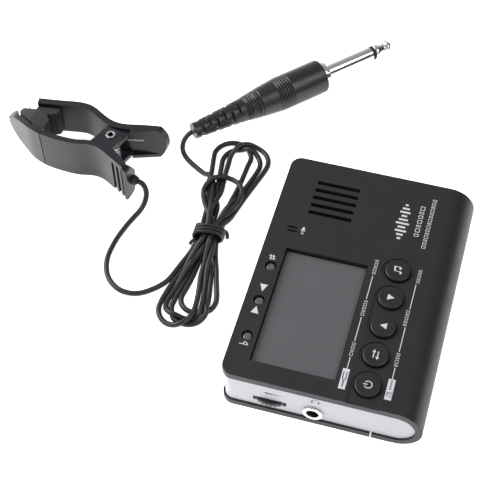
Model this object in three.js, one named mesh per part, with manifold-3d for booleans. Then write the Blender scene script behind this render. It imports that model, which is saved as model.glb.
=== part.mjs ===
// Pocket tuner and metronome with its clip-on contact pickup, in millimetres, +Z up.
// Origin: centre of the tuner's underside. +Y runs along the tuner's long side, +X to its rounded spine.
import * as THREE from "three";
import { mergeVertices } from "three/addons/utils/BufferGeometryUtils.js";
import Module from "manifold-3d";

const wasm = await Module();
wasm.setup();

// Driving dimensions of the tuner
const LENGTH = 105; // along Y
const WIDTH = 75; // along X
const HEIGHT = 21; // underside to the flat top
const CORNER = 4.5; // plan radius of the two left corners
const COVER_Z = 17.9; // underside of the top cover
const FLAP_TOP = 2.6; // thickness of the stand flap and of the spine's underside
const SPINE_WALL = 2.6;
const SEAM_X = 19.4; // where the stand flap ends and the spine's underside begins
const GAP = 0.3; // clearance between neighbouring pieces
const INSET = 0.8; // how far the white case sits inside the covers
const WALL = 1.6; // the white case's wall
const FLOOR = 1.5; // the white case's floor
const CASE_BOTTOM = FLAP_TOP + 0.1;
const CASE_TOP = COVER_Z - 0.1;
const FLOOR_TOP = CASE_BOTTOM + FLOOR;
const LEFT = -WIDTH / 2;
const RIGHT = WIDTH / 2;
const FRONT = -LENGTH / 2;
const REAR = LENGTH / 2;
const CASE_FRONT = FRONT + INSET;
const CASE_REAR = REAR - INSET;

// Screen, buttons, lamps and slots in the top cover
const SCREEN = { x0: -28.3, x1: 3.7, y0: -44.8, y1: 7.2 };
const LENS_Z = 18.3;
const LENS_THICK = 0.8;
const SCREEN_LEDGE = 1.6; // how far the ledge under the lens reaches in
const BUTTON_X = 15.1;
const BUTTON_Y0 = 7.4; // the rear-most button
const BUTTON_PITCH = 12.85;
const BUTTON_R = 4.8;
const BUTTON_TOP = 22;
const BUTTON_FOOT = 18.1;
const DISH_R = 6.1; // shallow dish round each button
const DISH_DEPTH = 0.4;
const BUTTON_NAMES = ["note_button", "down_button", "up_button", "mode_button", "power_button"];
const SWITCH = { half: 2.2, height: 0.7, stem: 1.1, top: 1 };
const LAMP_X = -32;
const LAMP_Y = [-2.6, -18.8, -34.9];
const LAMP_NAMES = ["sharp_lamp", "in_tune_lamp", "flat_lamp"];
const LAMP_R = 1.7;
const LAMP_TOP = 20.3;
const SPEAKER = { x: -16, y: 34, r: 11.5 };
const SPEAKER_SLOT = { length: 17.2, width: 1.7, pitch: 3.8, count: 5 };
const MIC = { x: -28.5, y: 16.5, r: 2.9 };
const BOARD_Z = 15.3;
const BOARD_THICK = 1;
const BOARD_TOP = BOARD_Z + BOARD_THICK;

// Front and rear sockets and the volume wheel
const WHEEL = { x: -18.9, y: -44, r: 9.5, z0: 6.2, z1: 8 };
const PHONES = { x: -2.6, z: 6.6, ringR: 3.8, bore: 1.85, depth: 14 };
const INPUT = { x: 13, z: 9.8, ringR: 5.4, bore: 3.3, depth: 33 };
const CELL = { r: 5.1, length: 44, x: [-3.7, 6.8], y: -8, z: 9.75 };
const DOOR = { x0: -9.5, x1: 12.6, y0: -33, y1: 17, travel: 2.4 };
const SCREW = {
  at: [[-32, -46], [24.5, -46], [-32, 46], [24.5, 46]],
  head: 2.2, shank: 1, tip: 14, boss: 2.7,
};
const HINGE = { x: 21, z: 1.3, r: 1.15, hole: 0.75, lugY: 34, lugHalf: 4 };

// The clip, in its own frame: pivot on the origin, jaws towards -X, lying on its side
const CLIP = { x: -113.4, y: 44.2, turn: -10, height: 20 };
const UPPER = { z0: 2.4, z1: 18.8, web: 2.8, ear: 2, earZ: [3, 15.5], endX: 6.2, endR: 12.8 };
const LOWER = { web: 2.4, cheek: 2, endX: 12.7, endCorner: 3 };
const GLAND_END = 17;
const PIVOT = { r: 1.5, bore: 1.15, flange: 2 };
const SPRING = { r: 2.9, z0: 5.6, z1: 14.4, turns: 5.378, start: -112, leg: 13, legShare: 0.105, wire: 0.45 };

// The cord and its plug
const CORD_R = 1.1;
const CORD_SIDES = 8;
const PLUG = {
  x: -85, y: 65.7, z: 7.5, turn: 46,
  reliefEnd: 24.4, handleEnd: 64, collarEnd: 66.8, tipEnd: 102,
};
const CLIP_ROUTE = [ // from the clip's gland over the table to the hank
  [-98, 31.75, 9.5], [-96, 31.25, 9.1], [-94.4, 30.2, 7.3], [-93.9, 28.6, 4.7], [-94.3, 26.2, 2.4],
  [-95.3, 23, 1.2], [-96.7, 19, 1.1], [-98.3, 13.5, 1.1], [-99.9, 5, 1.1], [-99.8, -3.8, 1.1],
  [-96.6, -11.4, 1.1], [-90.4, -16, 1.1], [-83.4, -16.1, 1.1], [-77.6, -12.4, 1.1], [-73.2, -7, 1.1],
];
const PLUG_ROUTE = [ // from the hank to the plug's strain relief
  [-75.7, 49.6, 1.1], [-79.2, 51.6, 1.1], [-83, 54, 1.1], [-86.3, 56.6, 1.6], [-88, 59.1, 3.2],
  [-88, 61.5, 5.2], [-86.8, 63.6, 6.9], [-85.3, 65.4, 7.5],
];
const HANK_OUTLINE = [
  [-62, -26], [-54.5, -18.5], [-52.8, -6], [-56.4, 12], [-57, 22], [-52.8, 40], [-50.8, 58], [-55, 69],
  [-64, 72], [-72, 67.5], [-74.4, 50], [-73.5, 36], [-69.8, 20], [-69.8, 8], [-70.6, -8], [-69.8, -21],
];
const HANK = { z0: 0.1, z1: 6.2 };
const TIE = { y0: 14.5, y1: 20.5, x0: -71, x1: -56, top: 6.5, thick: 1.2 };

const plastic = (color, roughness) => new THREE.MeshStandardMaterial({ color, roughness, metalness: 0 });
const metal = (color, roughness) => new THREE.MeshStandardMaterial({ color, roughness, metalness: 1 });
const MATERIAL = {
  black: plastic(0x1d1d20, 0.45),
  gloss: plastic(0x17171a, 0.2),
  white: plastic(0xe4e4e8, 0.5),
  glass: plastic(0x5c5d61, 0.1),
  lcd: plastic(0x66686c, 0.3),
  board: plastic(0x1f5a34, 0.6),
  rubber: plastic(0x161618, 0.8),
  lamp: plastic(0x7c7c80, 0.25),
  cell: plastic(0x2f4b78, 0.4),
  cord: plastic(0x1a1a1c, 0.55),
  chrome: metal(0xd0d0d2, 0.18),
  steel: metal(0xa5a6a8, 0.35),
  brass: metal(0xc09a50, 0.35),
};

// Solids: a closed three.js geometry becomes a manifold solid that can be joined and cut.
function solid(geometry) {
  const bare = geometry.index ? geometry.toNonIndexed() : geometry.clone();
  bare.deleteAttribute("normal");
  bare.deleteAttribute("uv");
  const merged = mergeVertices(bare, 1e-4);
  const corners = [];
  const index = merged.index.array;
  for (let i = 0; i < index.length; i += 3) {
    const [a, b, c] = [index[i], index[i + 1], index[i + 2]];
    if (a !== b && b !== c && c !== a) corners.push(a, b, c);
  }
  const mesh = new wasm.Mesh({
    numProp: 3,
    vertProperties: merged.attributes.position.array,
    triVerts: new Uint32Array(corners),
  });
  return new wasm.Manifold(mesh);
}

const join = (...solids) => solids.reduce((a, b) => a.add(b));
const cut = (body, ...tools) => tools.reduce((a, b) => a.subtract(b), body);

function box(x0, x1, y0, y1, z0, z1) {
  const g = new THREE.BoxGeometry(x1 - x0, y1 - y0, z1 - z0);
  return solid(g.translate((x0 + x1) / 2, (y0 + y1) / 2, (z0 + z1) / 2));
}

// A plan outline (THREE.Shape in X and Y) raised from z0 to z1.
function prism(shape, z0, z1, curveSegments = 6) {
  const g = new THREE.ExtrudeGeometry(shape, { depth: z1 - z0, bevelEnabled: false, curveSegments });
  return solid(g.translate(0, 0, z0));
}

// An outline drawn in X and Z, run along Y from y0 to y1.
function sideways(shape, y0, y1, curveSegments = 10) {
  const g = new THREE.ExtrudeGeometry(shape, { depth: y1 - y0, bevelEnabled: false, curveSegments });
  return solid(g.rotateX(Math.PI / 2).translate(0, y1, 0));
}

function rod(x, y, r, z0, z1, sides = 24) {
  const g = new THREE.CylinderGeometry(r, r, z1 - z0, sides).rotateX(Math.PI / 2);
  return solid(g.translate(x, y, (z0 + z1) / 2));
}

function rodY(x, z, r, y0, y1, sides = 24) {
  const g = new THREE.CylinderGeometry(r, r, y1 - y0, sides);
  return solid(g.translate(x, (y0 + y1) / 2, z));
}

// A turned piece: [radius, height] pairs from the axis, up the outside and back to the axis.
function turned(profile, sides = 24) {
  const points = profile.map(([r, z]) => new THREE.Vector2(r, z));
  return solid(new THREE.LatheGeometry(points, sides).rotateX(Math.PI / 2));
}

function roundedPlan(x0, x1, y0, y1, leftR, rightR = leftR) {
  const s = new THREE.Shape();
  s.moveTo(x0 + leftR, y0);
  s.lineTo(x1 - rightR, y0);
  if (rightR > 0) s.absarc(x1 - rightR, y0 + rightR, rightR, -Math.PI / 2, 0);
  s.lineTo(x1, y1 - rightR);
  if (rightR > 0) s.absarc(x1 - rightR, y1 - rightR, rightR, 0, Math.PI / 2);
  s.lineTo(x0 + leftR, y1);
  s.absarc(x0 + leftR, y1 - leftR, leftR, Math.PI / 2, Math.PI);
  s.lineTo(x0, y0 + leftR);
  s.absarc(x0 + leftR, y0 + leftR, leftR, Math.PI, 1.5 * Math.PI);
  return s;
}

// A stadium: two half circles of radius r about (x, y0) and (x, y1).
function stadium(x, y0, y1, r) {
  const s = new THREE.Shape();
  s.absarc(x, y1, r, 0, Math.PI);
  s.absarc(x, y0, r, Math.PI, 2 * Math.PI);
  return s;
}

const tuner = new THREE.Group();
const clip = new THREE.Group();
const plug = new THREE.Group();
clip.position.set(CLIP.x, CLIP.y, 0);
clip.rotation.z = THREE.MathUtils.degToRad(CLIP.turn);
plug.position.set(PLUG.x, PLUG.y, PLUG.z);
plug.rotation.z = THREE.MathUtils.degToRad(PLUG.turn);

function piece(group, name, body, material) {
  const { vertProperties, triVerts } = body.getMesh();
  const g = new THREE.BufferGeometry();
  g.setAttribute("position", new THREE.BufferAttribute(new Float32Array(vertProperties), 3));
  g.setIndex(new THREE.BufferAttribute(new Uint32Array(triVerts), 1));
  g.computeVertexNormals();
  const mesh = new THREE.Mesh(g, material);
  mesh.name = name;
  group.add(mesh);
}

const buttonY = (i) => BUTTON_Y0 - i * BUTTON_PITCH;

// The covers' end view: a flat top, a half-round spine and a short return underneath.
function spineOutline() {
  const r = HEIGHT / 2;
  const innerR = (COVER_Z - FLAP_TOP) / 2;
  const innerX = RIGHT - SPINE_WALL - innerR;
  const innerZ = FLAP_TOP + innerR;
  const s = new THREE.Shape();
  s.moveTo(LEFT, COVER_Z);
  s.lineTo(innerX, COVER_Z);
  s.absarc(innerX, innerZ, innerR, Math.PI / 2, -Math.PI / 2, true);
  s.lineTo(SEAM_X, FLAP_TOP);
  s.lineTo(SEAM_X, 0);
  s.lineTo(RIGHT - r, 0);
  s.absarc(RIGHT - r, r, r, -Math.PI / 2, Math.PI / 2);
  s.lineTo(LEFT, HEIGHT);
  return s;
}

function buttonDishes() {
  const z = HEIGHT - DISH_DEPTH;
  const top = HEIGHT + 1;
  const single = (i) => rod(BUTTON_X, buttonY(i), DISH_R, z, top, 36);
  const pair = prism(stadium(BUTTON_X, buttonY(2), buttonY(1), DISH_R), z, top, 9);
  const tab = prism(stadium(BUTTON_X, FRONT - DISH_R - 1, buttonY(4), DISH_R), z, top, 9);
  return join(single(0), pair, single(3), tab);
}

function coverSlots() {
  const { x, y } = SPEAKER;
  const half = SPEAKER_SLOT.length / 2;
  const slots = [];
  for (let i = 0; i < SPEAKER_SLOT.count; i++) {
    const sy = y + (i - (SPEAKER_SLOT.count - 1) / 2) * SPEAKER_SLOT.pitch;
    slots.push(box(x - half, x + half, sy - SPEAKER_SLOT.width / 2, sy + SPEAKER_SLOT.width / 2, 15, 25));
  }
  for (const dy of [-0.9, 0.9]) {
    slots.push(box(MIC.x - 1.9, MIC.x + 1.9, MIC.y + dy - 0.4, MIC.y + dy + 0.4, 15, 25));
  }
  return slots;
}

function topCover() {
  const plan = prism(roundedPlan(LEFT, RIGHT + CORNER, FRONT, REAR, CORNER), -1, HEIGHT + 1);
  const { x0, x1, y0, y1 } = SCREEN;
  const l = SCREEN_LEDGE;
  const holes = BUTTON_NAMES.map((_, i) => rod(BUTTON_X, buttonY(i), BUTTON_R + GAP, 15, 25, 20));
  const lamps = LAMP_Y.map((y) => rod(LAMP_X, y, LAMP_R + 0.5, 15, 25, 12));
  const underButtons = box(BUTTON_X - 6.5, BUTTON_X + 6.5, buttonY(4) - 6, buttonY(0) + 6, 15, 18.9);
  const notches = [-1, 1].map((side) => {
    const y = side * HINGE.lugY;
    const half = HINGE.lugHalf + GAP;
    return box(SEAM_X - 1, HINGE.x + HINGE.r + 0.45, y - half, y + half, -1, FLAP_TOP + 0.05);
  });
  const bosses = SCREW.at.map(([x, y]) => rod(x, y, SCREW.boss, FLOOR_TOP + GAP, COVER_Z + 1, 20));
  const bores = SCREW.at.map(([x, y]) => rod(x, y, SCREW.shank + 0.2, FLOOR_TOP, SCREW.tip + 1, 12));
  return cut(
    join(sideways(spineOutline(), FRONT, REAR).intersect(plan), ...bosses),
    ...bores,
    box(x0, x1, y0, y1, LENS_Z, 25),
    box(x0 + l, x1 - l, y0 + l, y1 - l, 15, 25),
    underButtons,
    buttonDishes(),
    rodY(HINGE.x, HINGE.z, HINGE.hole, -HINGE.lugY - 7.5, -HINGE.lugY + 7.5, 12),
    rodY(HINGE.x, HINGE.z, HINGE.hole, HINGE.lugY - 7.5, HINGE.lugY + 7.5, 12),
    ...holes,
    ...lamps,
    ...coverSlots(),
    ...notches,
  );
}

// The underside flap, which swings out as a stand on two lugs beside the spine.
function standFlap() {
  const right = SEAM_X - 0.6;
  const plate = prism(roundedPlan(LEFT, right + CORNER, FRONT, REAR, CORNER), 0, FLAP_TOP);
  const trimmed = cut(plate, box(right, RIGHT, FRONT - 1, REAR + 1, -1, 5));
  const lugs = [-1, 1].map((side) => {
    const y0 = side * HINGE.lugY - HINGE.lugHalf;
    const y1 = side * HINGE.lugY + HINGE.lugHalf;
    const neck = box(right - 1, HINGE.x, y0, y1, HINGE.z - HINGE.r, HINGE.z + HINGE.r);
    const lug = join(neck, rodY(HINGE.x, HINGE.z, HINGE.r, y0, y1, 20));
    return cut(lug, rodY(HINGE.x, HINGE.z, HINGE.hole, y0 - 1, y1 + 1, 12));
  });
  return join(trimmed, ...lugs);
}

// The white case between the covers: an open tray whose ends follow the spine's inside.
function innerCase() {
  const r = (CASE_TOP - CASE_BOTTOM) / 2;
  const cx = RIGHT - SPINE_WALL - 0.1 - r;
  const end = new THREE.Shape();
  end.moveTo(LEFT + INSET, CASE_BOTTOM);
  end.lineTo(cx, CASE_BOTTOM);
  end.absarc(cx, CASE_BOTTOM + r, r, -Math.PI / 2, Math.PI / 2);
  end.lineTo(LEFT + INSET, CASE_TOP);
  const corner = CORNER - INSET;
  const plan = prism(roundedPlan(LEFT + INSET, RIGHT + corner, CASE_FRONT, CASE_REAR, corner), 0, 25);
  const body = sideways(end, CASE_FRONT, CASE_REAR).intersect(plan);
  const roomX = [LEFT + INSET + WALL, cx + r - 1.8];
  const room = prism(roundedPlan(...roomX, CASE_FRONT + WALL, CASE_REAR - WALL, 2.2, 0), FLOOR_TOP, 25);
  const bayFront = DOOR.y0 - GAP - DOOR.travel;
  const bay = box(DOOR.x0 - GAP, DOOR.x1 + GAP, bayFront, DOOR.y1 + GAP, -1, FLOOR_TOP + 1);
  const slotEnd = CASE_FRONT + WALL + 1;
  const slot = box(WHEEL.x - 6.3, WHEEL.x + 6.3, FRONT, slotEnd, WHEEL.z0 - GAP, WHEEL.z1 + GAP);
  const screws = SCREW.at.map(([x, y]) => {
    const sunk = rod(x, y, SCREW.head + GAP, -1, CASE_BOTTOM + 1, 20);
    return join(sunk, rod(x, y, SCREW.shank + GAP, -1, FLOOR_TOP + 1, 16));
  });
  return cut(
    body,
    room,
    bay,
    slot,
    rod(WHEEL.x, WHEEL.y, WHEEL.r + GAP, WHEEL.z0 - GAP, WHEEL.z1 + GAP, 48),
    rodY(PHONES.x, PHONES.z, 3.2, FRONT, CASE_FRONT + WALL + 1),
    rodY(INPUT.x, INPUT.z, 4.7, CASE_REAR - WALL - 1, REAR),
    ...screws,
  );
}

function caseScrew([x, y]) {
  const head = rod(x, y, SCREW.head, CASE_BOTTOM + 0.05, CASE_BOTTOM + 0.8, 20);
  return join(head, rod(x, y, SCREW.shank, CASE_BOTTOM + 0.4, SCREW.tip, 12));
}

function screen() {
  const { x0, x1, y0, y1 } = SCREEN;
  const l = SCREEN_LEDGE + GAP;
  const lens = box(x0 + GAP, x1 - GAP, y0 + GAP, y1 - GAP, LENS_Z + 0.05, LENS_Z + LENS_THICK);
  const panel = box(x0 + l, x1 - l, y0 + l, y1 - l, BOARD_TOP + 0.4, LENS_Z - 0.3);
  const frame = cut(
    box(x0 - 0.6, x1 + 0.6, y0 - 0.6, y1 + 0.6, BOARD_TOP + 0.1, COVER_Z - 0.3),
    box(x0 + l - GAP, x1 - l + GAP, y0 + l - GAP, y1 - l + GAP, 15, 25),
  );
  piece(tuner, "lcd_window", lens, MATERIAL.glass);
  piece(tuner, "lcd_panel", panel, MATERIAL.lcd);
  piece(tuner, "lcd_holder", frame, MATERIAL.black);
}

function board() {
  const outline = box(-34.5, 27, -49.5, 13, BOARD_Z, BOARD_TOP);
  const screwHoles = SCREW.at.map(([x, y]) => rod(x, y, SCREW.boss + GAP, 10, 20, 16));
  return cut(outline, ...screwHoles);
}

function button(i) {
  const y = buttonY(i);
  const r = BUTTON_R;
  const profile = [
    [0, BUTTON_FOOT], [r + 0.7, BUTTON_FOOT], [r + 0.7, BUTTON_FOOT + 0.4], [r, BUTTON_FOOT + 0.4],
    [r, BUTTON_TOP - 0.5], [r - 0.15, BUTTON_TOP - 0.2], [r - 0.6, BUTTON_TOP], [0, BUTTON_TOP - 0.15],
  ];
  return turned(profile, 20).translate([BUTTON_X, y, 0]);
}

function tactSwitch(i) {
  const y = buttonY(i);
  const { half, height, stem, top } = SWITCH;
  const can = box(BUTTON_X - half, BUTTON_X + half, y - half, y + half, BOARD_TOP + 0.05, BOARD_TOP + height);
  return join(can, rod(BUTTON_X, y, stem, BOARD_TOP + 0.5, BOARD_TOP + top, 16));
}

function lamp(y) {
  const r = LAMP_R;
  const z = BOARD_TOP + 0.05;
  const profile = [
    [0, z], [r + 0.3, z], [r + 0.3, z + 0.8], [r, z + 0.8],
    [r, LAMP_TOP - 0.4], [r - 0.35, LAMP_TOP - 0.05], [0, LAMP_TOP],
  ];
  return turned(profile, 12).translate([LAMP_X, y, 0]);
}

function speaker() {
  const { x, y, r } = SPEAKER;
  const place = (body) => body.translate([x, y, 0]);
  const basket = turned([[r - 1.4, 14.4], [r, 14.4], [r, 17.6], [r - 1.4, 17.6], [r - 1.4, 14.4]], 32);
  const cone = turned([[0, 15], [3, 15], [r - 1.7, 16.9], [r - 1.7, 17.3], [3, 15.5], [0, 16.4]], 32);
  const magnet = turned([[0, 10.8], [6, 10.8], [6, 13.6], [4, 14.6], [0, 14.6]], 24);
  piece(tuner, "speaker_frame", place(basket), MATERIAL.steel);
  piece(tuner, "speaker_cone", place(cone), MATERIAL.rubber);
  piece(tuner, "speaker_magnet", place(magnet), MATERIAL.steel);
}

function volumeWheel() {
  const { x, y, r, z0, z1 } = WHEEL;
  const teeth = 36;
  const rim = new THREE.Shape();
  for (let i = 0; i < 2 * teeth; i++) {
    const a = (i * Math.PI) / teeth;
    const reach = i % 2 ? r : r - 0.35;
    rim[i ? "lineTo" : "moveTo"](x + reach * Math.cos(a), y + reach * Math.sin(a));
  }
  return cut(prism(rim, z0, z1), rod(x, y, 2, z0 - 1, z1 + 1, 20));
}

function volumeControl() {
  const { x, y, z1 } = WHEEL;
  const can = box(x - 5, x + 5, y - 5, y + 5, z1 + 0.5, BOARD_Z - 0.1);
  return join(can, rod(x, y, 1.5, WHEEL.z0 - 1, z1 + 1, 16));
}

// A socket along Y: the body holds a blind bore, and the ring lines the hole in the case.
function phonesJack() {
  const { x, z, ringR, bore, depth } = PHONES;
  const inner = CASE_FRONT + WALL + 0.3;
  const block = box(x - 4, x + 4, inner, inner + depth, FLOOR_TOP + 0.1, z + 3.4);
  const hole = rodY(x, z, bore, inner - 1, inner + depth - 1.2, 20);
  piece(tuner, "phones_jack", cut(block, hole), MATERIAL.black);
  const ring = join(
    rodY(x, z, ringR, CASE_FRONT - 0.9, CASE_FRONT - 0.1, 32),
    rodY(x, z, 2.9, CASE_FRONT - 0.5, inner - 0.2, 24),
  );
  const mouth = rodY(x, z, 2.35, FRONT - 1, inner + 1, 24);
  piece(tuner, "phones_jack_ring", cut(ring, mouth), MATERIAL.chrome);
}

function inputJack() {
  const { x, z, ringR, bore, depth } = INPUT;
  const inner = CASE_REAR - WALL - 0.3;
  const block = box(x - 5.2, x + 5.2, inner - depth, inner, FLOOR_TOP + 0.2, z + 5.3);
  const hole = rodY(x, z, bore, inner - depth - 1, inner + 1, 24);
  piece(tuner, "input_jack", cut(block, hole), MATERIAL.black);
  const ring = join(
    rodY(x, z, ringR, CASE_REAR + 0.1, REAR + 0.3, 6),
    rodY(x, z, 4.4, inner + 0.2, CASE_REAR + 0.5, 24),
  );
  piece(tuner, "input_jack_nut", cut(ring, rodY(x, z, bore + 0.1, inner - 1, REAR + 2, 24)), MATERIAL.chrome);
}

function power() {
  const { r, length, x, y, z } = CELL;
  x.forEach((cx, i) => {
    const nubAt = i ? -1 : 1;
    const can = rodY(cx, z, r, y - length / 2 + 0.8, y + length / 2 - 0.8, 24);
    const end = y + nubAt * (length / 2 - 0.8);
    const nubEnds = [end - 0.5 * nubAt, end + 0.8 * nubAt];
    const nub = rodY(cx, z, 1.8, Math.min(...nubEnds), Math.max(...nubEnds), 12);
    piece(tuner, `cell_${i + 1}`, join(can, nub), MATERIAL.cell);
  });
  [-1, 1].forEach((side) => {
    const near = y + side * (length / 2 + 0.4);
    const far = y + side * (length / 2 + 1);
    const [y0, y1] = [Math.min(near, far), Math.max(near, far)];
    const name = side < 0 ? "front_contacts" : "rear_contacts";
    piece(tuner, name, box(x[0] - 3.5, x[1] + 3.5, y0, y1, FLOOR_TOP + 0.7, z + 3.5), MATERIAL.steel);
  });
  const door = box(DOOR.x0, DOOR.x1, DOOR.y0, DOOR.y1, CASE_BOTTOM, FLOOR_TOP - 0.2);
  const middle = (DOOR.x0 + DOOR.x1) / 2;
  const grips = [3, 5, 7, 9].map((dy) =>
    box(middle - 4.5, middle + 4.5, DOOR.y0 + dy, DOOR.y0 + dy + 1, 0, CASE_BOTTOM + 0.5));
  piece(tuner, "battery_door", cut(door, ...grips), MATERIAL.white);
}

function buildTuner() {
  piece(tuner, "top_cover", topCover(), MATERIAL.black);
  piece(tuner, "stand_flap", standFlap(), MATERIAL.black);
  piece(tuner, "inner_case", innerCase(), MATERIAL.white);
  screen();
  piece(tuner, "main_board", board(), MATERIAL.board);
  BUTTON_NAMES.forEach((name, i) => {
    piece(tuner, name, button(i), MATERIAL.gloss);
    piece(tuner, `switch_${i + 1}`, tactSwitch(i), MATERIAL.steel);
  });
  LAMP_NAMES.forEach((name, i) => piece(tuner, name, lamp(LAMP_Y[i]), MATERIAL.lamp));
  speaker();
  piece(tuner, "mic_capsule", rod(MIC.x, MIC.y, MIC.r, 15, COVER_Z - 0.3, 20), MATERIAL.steel);
  piece(tuner, "volume_wheel", volumeWheel(), MATERIAL.gloss);
  piece(tuner, "volume_control", volumeControl(), MATERIAL.steel);
  phonesJack();
  inputJack();
  power();
  SCREW.at.forEach((at, i) => piece(tuner, `case_screw_${i + 1}`, caseScrew(at), MATERIAL.steel));
  [-1, 1].forEach((side) => {
    const y = side * HINGE.lugY;
    const pin = rodY(HINGE.x, HINGE.z, HINGE.hole - 0.2, y - 7.2, y + 7.2, 12);
    piece(tuner, side < 0 ? "stand_pin_front" : "stand_pin_rear", pin, MATERIAL.steel);
  });
}

const vectors = (points) => points.map(([x, y]) => new THREE.Vector2(x, y));
const polygon = (points) => new THREE.Shape(vectors(points));

// A wall of even thickness: a smooth line through the points, and its copy set off to one side.
function wallShape(points, thickness, steps = 22) {
  const line = new THREE.SplineCurve(vectors(points));
  const outer = line.getPoints(steps);
  const inner = outer.map((p, i) => {
    const along = line.getTangent(i / steps);
    return new THREE.Vector2(p.x - along.y * thickness, p.y + along.x * thickness);
  });
  return new THREE.Shape([...outer, ...inner.reverse()]);
}

const UPPER_LINE = [
  [20.5, 15.7], [17, 14.5], [9, 11.8], [2, 9], [-3, 8.3],
  [-8, 9.4], [-15, 11.9], [-21, 11.8], [-31, 8.5], [-38.6, 6.1],
];
const LOWER_LINE = [
  [-27.2, -12], [-20, -11.8], [-12, -10.6], [-6, -8.4], [-1, -8.3], [6, -10.7], [13.8, -13.6],
];

// The arm whose jaw swings: a bowed wall with two ears inside the other arm's, and flanges on its handle.
function upperArm() {
  const { z0, z1, ear, earZ, endX, endR } = UPPER;
  const middle = (z0 + z1) / 2;
  const web = prism(wallShape(UPPER_LINE, UPPER.web), z0, z1);
  const round = new THREE.Shape();
  round.absarc(endX, middle, endR, -Math.PI / 2, Math.PI / 2);
  round.lineTo(-60, middle + endR);
  round.lineTo(-60, middle - endR);
  const rounded = web.intersect(sideways(round, -30, 30, 12));
  const ears = earZ.map((z) => {
    const lobe = rod(0, 0, 4.1, z, z + ear, 24);
    const root = prism(polygon([[-4.1, 0], [4.1, 0], [5.5, 8.4], [-5.5, 7.2]]), z, z + ear);
    return cut(join(lobe, root), rod(0, 0, PIVOT.r + 0.4, z - 1, z + ear + 1, 24));
  });
  const flangePlan = polygon([[4.8, 8.9], [5.6, 5.5], [15.8, 11.1], [15.6, 12.1]]);
  const flanges = [z0, z1 - 1.8].map((z) => prism(flangePlan, z, z + 1.8));
  const dimple = rodY(-29.2, 6, 1, 4, 6.9, 16);
  return cut(join(rounded, ...ears, ...flanges), dimple);
}

// One side of the lower arm, from its jaw past the pivot to the end of its handle.
const CHEEK_LINE = [
  [-13, -9.8], [-6.2, -5.9], [-4.9, -1.2], [-4.4, 1.6], [-2.8, 3.5], [2.4, 3.6], [4.4, 1.4],
  [4.8, -2.2], [4.2, -5.9], [9.3, -8.3], [13.8, -11.2], [13.5, -12.6], [6, -9.8], [-1, -7.2], [-6, -7.3],
];

function cheek(z) {
  const plate = prism(polygon(CHEEK_LINE), z, z + LOWER.cheek);
  return cut(plate, rod(0, 0, PIVOT.r + GAP, z - 1, z + LOWER.cheek + 1, 24));
}

// The wall across the end of the lower arm's handle, deepest where the cord leaves it.
function handleEnd() {
  const h = CLIP.height;
  const wall = [[-14, 0], [-14, h], [-11, h], [-7.6, 14], [-7.6, 6], [-11, 0]];
  return prism(polygon(wall), 0, 2.2).rotate([90, 0, 90]).translate([LOWER.endX, 0, 0]);
}

// The arm that holds the pickup and the cord: a bowed wall, two cheeks with the outer ears, and an end wall.
function lowerArm() {
  const h = CLIP.height;
  const web = prism(wallShape(LOWER_LINE, LOWER.web), 0, h);
  const tongue = prism(wallShape([[-32, -9.9], [-29.5, -10.6], [-26, -11]], 1.3, 6), 4, 16);
  const outline = roundedPlan(-60, LOWER.endX + 2.2, 0, h, 1, LOWER.endCorner);
  const whole = join(web, cheek(h - LOWER.cheek), cheek(0), handleEnd(), tongue);
  const body = whole.intersect(sideways(outline, -30, 30));
  const groove = prism(polygon([[5.9, -15], [7.4, -15], [7.4, -10.2], [5.9, -9.7]]), -1, h - 2.5);
  const grooves = [0, 1, 2].map((i) => groove.translate([2.7 * i, -0.95 * i, 0]));
  const flangeRoom = rod(0, 0, PIVOT.flange + 0.5, -1, 1, 24);
  return cut(body, flangeRoom, ...grooves);
}

// The nose over the contact pickup: it bulges from the arm's wall and tapers to the jaw's tip.
function pickupCover() {
  const nose = new THREE.Shape();
  nose.moveTo(-27.6, -12);
  nose.splineThru(vectors([[-34, -10.6], [-41, -7.6], [-46.8, -4.9], [-49.2, -3.4], [-48, -1.6]]));
  nose.lineTo(-44.5, -1.8);
  nose.lineTo(-42.5, -4.4);
  nose.lineTo(-33.2, -8.6);
  nose.lineTo(-33.2, -8.2);
  nose.lineTo(-27.6, -8.2);
  const room = prism(wallShape([[-32.5, -10.3], [-29.5, -11], [-26, -11.4]], 2.1, 6), 3.6, 16.4);
  return cut(prism(nose, 0, CLIP.height, 8).intersect(jawEnd(0)), room, piezo(4.8, 3, 1));
}

// The rounded end of the lower jaw seen from the side, as a block to cut it with; back draws it in.
function jawEnd(back) {
  const side = new THREE.Shape();
  side.moveTo(-26, 0);
  side.splineThru(vectors([
    [-35 + back, 0.6], [-43.5 + back, 3.2], [-48.5 + back, 7.2], [-49.8 + back, 10],
    [-48.5 + back, 12.8], [-43.5 + back, 16.8], [-35 + back, 19.4], [-26, 20],
  ]));
  return sideways(side, -30, 10, 8);
}

// A disc lying against the nose's inner face: out shifts it along the face's normal.
function piezo(r, thickness, out) {
  const tilt = THREE.MathUtils.degToRad(24.3);
  const g = new THREE.CylinderGeometry(r, r, thickness, 24).rotateZ(-tilt);
  return solid(g.translate(-38.2 + out * Math.sin(tilt), -7.1 + out * Math.cos(tilt), CLIP.height / 2));
}

const UPPER_PAD = [[-37.6, 1], [-31, 1], [-28.2, 3], [-28.2, 6.1], [-31, 5.2], [-37.6, 2.9]];
const LOWER_PAD = [
  [-44.2, -1.1], [-42.2, -3.8], [-33, -7.7], [-28, -7.6], [-28, -3], [-31, -0.3], [-37, 0.3], [-43.4, 0.3],
];

// A rubber pad with shallow ribs across its gripping face.
function jawPad(plan, ribs, z0, z1) {
  const cuts = ribs.map(([x, y]) => rod(x, y, 0.6, z0 - 1, z1 + 1, 8));
  return cut(prism(polygon(plan), z0, z1), ...cuts);
}

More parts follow.
